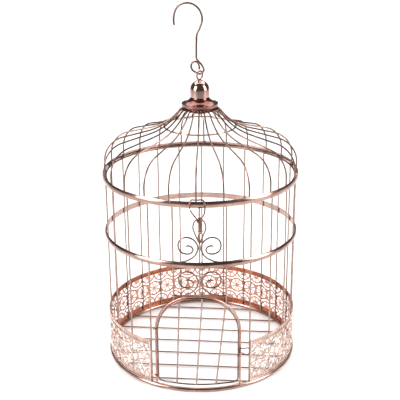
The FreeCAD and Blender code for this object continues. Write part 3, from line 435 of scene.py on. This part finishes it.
@dataclass
class FiligreeStrip:
    """The pressed openwork strip: starred wheels between two beaded borders.

    Lengths are in metres. A name ending in rise or foot is a height in sheets, and the shares of a
    wheel's parts are of its radius.
    """

    inner_radius: float = 0.11266
    low: float = 0.0046
    high: float = 0.0578
    gap_angle: float = math.radians(30.2)
    tiles: int = 30
    sheet: float = 0.0007
    border: float = 0.0064
    wheel: float = 0.0095
    rib: float = 0.0019
    spoke: float = 0.0014
    plate: float = 0.0021
    bead: float = 0.00085
    bead_pitch: float = 0.0031
    # Faces turned inward past this take the orange copper copy, which is painted reflection.
    inside_below: float = -0.3
    back_fold: float = 0.4
    border_steps: int = 150
    spokes: int = 8
    rim_rise: float = 1.25
    spoke_rise: float = 1.1
    boss_foot: float = 0.3
    boss_rise: float = 1.3
    boss_share: float = 0.8
    boss_reach: float = 0.98
    hub_share: float = 0.23
    hub_rise: float = 2.0
    inner_rim: float = 0.38
    inner_rise: float = 1.4
    end_rise: float = 1.5
    line_share: float = 0.2
    slope_share: float = 1.4
    raised_rise: float = 1.6
    sunk_rise: float = 0.7
    bead_foot: float = 0.6
    bead_width: float = 1.15
    cross_place: float = 0.62
    cross_lean: float = 0.22
    cross_boss: float = 1.2
    maker: MeshMaker = field(default_factory=MeshMaker)

    @property
    def length(self) -> float:
        """Length of the strip along its circle."""
        return (2 * math.pi - 2 * self.gap_angle) * self.inner_radius

    def lay(self, along: float, height: float, out: float) -> Vector:
        """Point on the strip.

        Args:
            along: Distance from the strip's first end.
            height: Height above the floor.
            out: Height above the strip's inner face.

        Returns:
            The point in space.
        """
        return around(self.gap_angle + along / self.inner_radius, self.inner_radius + out, height)

    def rib_along(self, path: list[tuple[float, float]], width: float, rise: float,
                  closed: bool = False) -> None:
        """A rounded rib that follows a path drawn on the flat strip.

        Args:
            path: Points along and up the strip.
            width: Width of the rib.
            rise: Height of the rib's crown over the inner face.
            closed: Whether the path is a loop.
        """
        rows = []
        count = len(path)
        for step, (along, height) in enumerate(path):
            before = path[(step - 1) % count] if closed or step else path[0]
            after = path[(step + 1) % count] if closed or step < count - 1 else path[-1]
            run = (after[0] - before[0], after[1] - before[1])
            size = math.hypot(*run) or 1.0
            aside = (-run[1] / size, run[0] / size)
            row = []
            for share, lift in RIB_PROFILE:
                x = along + aside[0] * width * share
                z = height + aside[1] * width * share
                row.append(self.lay(min(max(x, 0.0), self.length), min(max(z, self.low), self.high),
                                    rise * lift))
            rows.append(row)
        self.maker.loft(rows, closed)

    def circle(self, along: float, height: float, radius: float, first: float = 0.0,
               last: float = 2 * math.pi, steps: int = 28) -> list[tuple[float, float]]:
        """Points of a circle or arc on the flat strip.

        Args:
            along: Centre along the strip.
            height: Centre's height.
            radius: Radius of the arc.
            first: Angle where it starts.
            last: Angle where it ends.
            steps: Steps along it.

        Returns:
            The points.
        """
        whole = abs(last - first - 2 * math.pi) < 1e-6
        ends = steps if whole else steps + 1
        return [(along + radius * math.cos(first + (last - first) * step / steps),
                 height + radius * math.sin(first + (last - first) * step / steps)) for step in range(ends)]

    def star_wheel(self, along: float, height: float) -> None:
        """One whole wheel: rim, eight spokes that leave pointed openings, and a domed hub.

        Args:
            along: Centre along the strip.
            height: Centre's height.
        """
        out = self.lay(along, height, 1.0) - self.lay(along, height, 0.0)
        eighth = 2 * math.pi / self.spokes
        self.rib_along(self.circle(along, height, self.wheel), self.rib, self.sheet * self.rim_rise, True)
        for spoke in range(self.spokes):
            angle = eighth / 2 + eighth * spoke
            path = [(along + self.wheel * share * math.cos(angle),
                     height + self.wheel * share * math.sin(angle)) for share in (0.1, 0.4, 0.7, 1.0)]
            self.rib_along(path, self.spoke, self.sheet * self.spoke_rise)
        tip = self.wheel * self.boss_reach
        for petal in range(self.spokes):
            angle = eighth * petal
            foot = self.lay(along + tip * math.cos(angle), height + tip * math.sin(angle),
                            self.sheet * self.boss_foot)
            self.maker.dome(foot, out, self.spoke * self.boss_share, self.sheet * self.boss_rise, 8, 3)
        self.maker.dome(self.lay(along, height, 0.0), out, self.wheel * self.hub_share,
                        self.sheet * self.hub_rise, 12, 4)

    def part_wheel(self, along: float, height: float, first: int, last: int) -> None:
        """Part of a wheel that stands on a border or in a corner.

        Args:
            along: Centre along the strip.
            height: Height of the border's edge.
            first: Eighth of the wheel where it starts, anticlockwise from the strip's direction.
            last: Eighth where it ends.
        """
        eighth = 2 * math.pi / self.spokes
        start, stop = first * eighth, last * eighth
        steps = 4 * (last - first)
        self.rib_along(self.circle(along, height, self.wheel, start, stop, steps),
                       self.rib, self.sheet * self.rim_rise)
        self.rib_along(self.circle(along, height, self.wheel * self.inner_rim, start, stop, steps // 2),
                       self.spoke, self.sheet * self.inner_rise)
        for spoke in range(first + 1, last):
            angle = eighth * spoke
            path = [(along + self.wheel * share * math.cos(angle),
                     height + self.wheel * share * math.sin(angle)) for share in (0.1, 0.55, 1.0)]
            self.rib_along(path, self.spoke, self.sheet * self.spoke_rise)

    def border_strip(self, low: float, high: float) -> None:
        """Solid border with two raised lines and a row of beads.

        Args:
            low: Lower edge.
            high: Upper edge.
        """
        steps = self.border_steps
        line = (high - low) * self.line_share
        slope = line * self.slope_share
        raised = self.sheet * self.raised_rise
        sunk = self.sheet * self.sunk_rise
        fold = -self.sheet * self.back_fold
        profile = [(low, 0.0), (low, raised), (low + line, raised), (low + slope, sunk),
                   (high - slope, sunk), (high - line, raised), (high, raised), (high, 0.0),
                   (high - line * 0.5, fold), (high - line, 0.0), (low + line, 0.0), (low + line * 0.5, fold)]
        rows = [[self.lay(self.length * step / steps, height, out) for height, out in profile]
                for step in range(steps + 1)]
        self.maker.loft(rows, False)
        middle = (low + high) / 2
        count = int(self.length / self.bead_pitch)
        for number in range(count):
            along = self.length * (number + 0.5) / count
            foot = self.lay(along, middle, self.sheet * self.bead_foot)
            self.maker.dome(foot, self.lay(along, middle, 1.0) - foot,
                            self.bead * self.bead_width, self.bead, 8, 3)

    def build(self) -> list[bpy.types.Object]:
        """Build the whole strip: its outside in a pale copy of the plating as painted highlight, its inside
        in an orange copper copy as painted reflection.

        Returns:
            The finished piece.
        """
        pitch = self.length / self.tiles
        floor_edge = self.low + self.border
        top_edge = self.high - self.border
        middle = (floor_edge + top_edge) / 2
        self.border_strip(self.low, floor_edge)
        self.border_strip(top_edge, self.high)
        for tile in range(self.tiles):
            self.star_wheel(pitch * (tile + 0.5), middle)
        for tile in range(self.tiles + 1):
            first, last = (2 if tile == self.tiles else 0), (2 if tile == 0 else 4)
            self.part_wheel(pitch * tile, floor_edge, first, last)
            self.part_wheel(pitch * tile, top_edge, 8 - last, 8 - first)
        for end in (0.0, self.length):
            inward = self.rib / 2 if end == 0.0 else -self.rib / 2
            self.rib_along([(end + inward, self.low), (end + inward, middle), (end + inward, self.high)],
                           self.rib, self.sheet * self.end_rise)
        for tile in range(self.tiles - 1):
            crossing = pitch * (tile + 1)
            for height in (middle - self.wheel * self.cross_place, middle + self.wheel * self.cross_place):
                lean = self.wheel * self.cross_lean
                for tilt in (lean, -lean):
                    self.rib_along([(crossing - lean, height - tilt), (crossing + lean, height + tilt)],
                                   self.spoke, self.sheet)
                self.maker.dome(self.lay(crossing, height, 0.0),
                                around(self.gap_angle + crossing / self.inner_radius, 1.0, 0.0),
                                self.plate, self.sheet * self.cross_boss, 10, 3)
        piece = self.maker.build("filigree_openwork", LACE_PAINTED_HIGHLIGHT_METAL.build(), Body.CAGE, Slot.LACE)
        piece.data.materials.append(LACE_INSIDE_PAINTED_REFLECTION.build())
        # Painted reflection: faces that look into the cage take the orange copper copy in place of light
        # bounced inside.
        for face in piece.data.polygons:
            outwards = Vector((face.center.x, face.center.y, 0.0)).normalized()
            if face.normal.dot(outwards) < self.inside_below:
                face.material_index = 1
        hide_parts("filigree_band")
        return [piece]


# ---------------------------------------------------------------- welds


@dataclass
class WeldBeads:
    """Small spot welds where the wires meet the middle band and the lid's hoop."""

    wires: int = 24
    circle: float = 0.1119
    wire: float = 0.0018
    band_inner: float = 0.11265
    band_levels: tuple[float, ...] = (0.1556, 0.1602)
    dome_turn: float = math.radians(-1.7)
    hoop_levels: tuple[float, ...] = (0.2289,)
    size: float = 0.0013
    gap: float = 0.0003
    aside: float = 0.42
    bulge: float = 0.62

    def pair(self, maker: MeshMaker, angle: float, height: float) -> None:
        """Two weld beads in the corners between a wire and the band outside it.

        Args:
            maker: Mesh that receives them.
            angle: Angle of the wire from the front.
            height: Height of the weld.
        """
        for side in (-1, 1):
            spot = angle + side * self.wire * self.aside / self.circle
            foot = around(spot, self.band_inner + self.gap, height)
            maker.dome(foot, -around(spot, 1.0, 0.0), self.size * self.bulge, self.size * self.bulge, 8, 3)

    def build(self) -> list[bpy.types.Object]:
        """Build the welds of the cage and of the lid.

        Returns:
            The two groups of welds.
        """
        finish = WIRE_SHADED_METAL.build()
        cage = MeshMaker()
        for number in range(self.wires):
            for level in self.band_levels:
                self.pair(cage, 2 * math.pi * number / self.wires, level)
        lid = MeshMaker()
        for number in range(self.wires):
            for level in self.hoop_levels:
                self.pair(lid, 2 * math.pi * number / self.wires + self.dome_turn, level)
        return [cage.build("band_welds", finish, Body.CAGE, Slot.WIRE),
                lid.build("hoop_welds", finish, Body.LID, Slot.WIRE)]


# ---------------------------------------------------------------- carried-over pieces


@dataclass
class PlatedFrame:
    """Dresses the wires, rings, bands and fittings that keep their own shape."""

    band_nodes: tuple[str, ...] = ("middle_band", "lid_hoop", "base_ring", "neck_ring")
    door_nodes: tuple[str, ...] = ("door_jamb", "door_hinge_loops")
    cap_nodes: tuple[str, ...] = ("cap_bell",)
    # These parts take the dark maroon copy, which is painted shade.
    skirt_nodes: tuple[str, ...] = ("cap_skirt", "crown_disc", "cap_nut", "cap_eye_bolt")
    clip_nodes: tuple[str, ...] = ("clip_barrel", "clip_claw", "clip_trigger_pin", "clip_trigger",
                                   "clip_swivel_eye")

    def build(self) -> list[bpy.types.Object]:
        """Give every carried-over node its copy of the plating; the brightness of the wire, band, door and
        skirt copies carries painted shade or painted highlight.

        Returns:
            The dressed objects.
        """
        wire = WIRE_SHADED_METAL.build()
        special: dict[str, bpy.types.Material] = {}
        for names, finish in ((self.band_nodes, BAND_PAINTED_HIGHLIGHT_METAL), (self.door_nodes, DOOR_PAINTED_HIGHLIGHT_METAL),
                              (self.cap_nodes, CAP_FINISH), (self.skirt_nodes, SKIRT_PAINTED_SHADE_METAL),
                              (self.clip_nodes, CLIP_FINISH)):
            special.update(dict.fromkeys(names, finish.build()))
        dressed = []
        for name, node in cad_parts.items():
            for place in node.material_slots:
                place.material = special.get(name, wire)
            dressed.append(node)
        return dressed


# ---------------------------------------------------------------- studio


@dataclass(frozen=True)
class SoftBox:
    """One rectangular studio light, with the spread in degrees that a grid in front of it leaves."""

    name: str
    place: Point
    target: Point
    width: float
    depth: float
    power: float
    spread: float = 180.0

    def build(self) -> None:
        """Hang the light and aim it."""
        light = bpy.data.lights.new(self.name, "AREA")
        light.shape = "RECTANGLE"
        light.spread = math.radians(self.spread)
        light.size = self.width
        light.size_y = self.depth
        light.energy = self.power
        lamp = bpy.data.objects.new(self.name, light)
        lamp.location = self.place
        way = Vector(self.target) - Vector(self.place)
        lamp.rotation_euler = way.to_track_quat("-Z", "Y").to_euler()
        bpy.context.scene.collection.objects.link(lamp)


CAGE_MIDDLE = (0.0, 0.0, 0.26)
LIGHTS = (
    SoftBox("left_box", (-1.5, -0.9, 0.9), CAGE_MIDDLE, width=0.9, depth=1.7, power=11.0, spread=70.0),
    SoftBox("right_box", (1.5, -0.5, 0.9), CAGE_MIDDLE, width=0.7, depth=1.7, power=8.0, spread=70.0),
    SoftBox("sky_panel", (0.0, 2.4, 3.0), (0.0, 2.4, 0.0), width=5.0, depth=4.8, power=205.0))


@dataclass
class Studio:
    """Pale floor, soft boxes and the camera."""

    floor_size: float = 14.0
    distance: float = 0.9603
    height: float = 0.544
    azimuth: float = math.radians(0.76)
    yaw: float = math.radians(-0.038)
    pitch: float = math.radians(20.129)
    roll: float = math.radians(-0.410)
    lens: float = 77.39
    sensor: float = 36.0
    room: float = 0.14
    paper: float = 0.93

    def floor(self) -> bpy.types.Object:
        """The pale floor the cage stands on.

        Returns:
            The floor object.
        """
        half = self.floor_size / 2
        mesh = bpy.data.meshes.new("studio_floor")
        corners = [(-half, -half, 0), (half, -half, 0), (half, half, 0), (-half, half, 0)]
        mesh.from_pydata(corners, [], [(0, 1, 2, 3)])
        floor = bpy.data.objects.new("studio_floor", mesh)
        bpy.context.scene.collection.objects.link(floor)
        material = bpy.data.materials.new("pale_paper")
        material.use_nodes = True
        shader = material.node_tree.nodes["Principled BSDF"]
        shader.inputs["Base Color"].default_value = (self.paper, self.paper, self.paper, 1.0)
        shader.inputs["Roughness"].default_value = 0.85
        shader.inputs["Specular IOR Level"].default_value = 0.2
        mesh.materials.append(material)
        floor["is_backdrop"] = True
        return floor

    def world(self) -> None:
        """An even, dim white room."""
        world = bpy.data.worlds.new("soft_room")
        bpy.context.scene.world = world
        world.use_nodes = True
        nodes = world.node_tree.nodes
        nodes["Background"].inputs["Color"].default_value = (1.0, 1.0, 1.0, 1.0)
        nodes["Background"].inputs["Strength"].default_value = self.room

    def camera(self) -> bpy.types.Object:
        """The camera, above the cap's level and looking down into the cage.

        Returns:
            The camera object.
        """
        right = Vector((math.cos(self.yaw), -math.sin(self.yaw), 0.0))
        ahead = Vector((math.sin(self.yaw) * math.cos(self.pitch), math.cos(self.yaw) * math.cos(self.pitch),
                        -math.sin(self.pitch)))
        up = right.cross(ahead)
        turned_right = right * math.cos(self.roll) + up * math.sin(self.roll)
        turned_up = up * math.cos(self.roll) - right * math.sin(self.roll)
        pose = Matrix((turned_right, turned_up, -ahead)).transposed().to_4x4()
        pose.translation = Vector((0.0, -self.distance, self.height))
        data = bpy.data.cameras.new("view")
        data.lens = self.lens
        data.sensor_width = self.sensor
        camera = bpy.data.objects.new("view", data)
        camera.matrix_world = Matrix.Rotation(self.azimuth, 4, "Z") @ pose
        bpy.context.scene.collection.objects.link(camera)
        bpy.context.scene.camera = camera
        return camera

    def build(self) -> list[bpy.types.Object]:
        """Set up the whole studio.

        Returns:
            The floor and the camera.
        """
        floor = self.floor()
        self.world()
        for light in LIGHTS:
            light.build()
        scene = bpy.context.scene
        scene.view_settings.view_transform = "Standard"
        scene.view_settings.look = "None"
        scene.view_settings.exposure = 0.0
        return [floor, self.camera()]


def main() -> None:
    """Build every sub-assembly in order and report its pieces."""
    logging.basicConfig(level=logging.INFO, format="%(message)s")
    for assembly in (PlatedFrame(), FiligreeStrip(), WeldBeads(), Studio()):
        for piece in assembly.build():
            LOG.info("%s: %s", type(assembly).__name__, piece.name)
    {"cad": as_lists(CAD_BOUNDS), "visual": as_lists(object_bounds())}


if __name__ == "__main__":
    main()
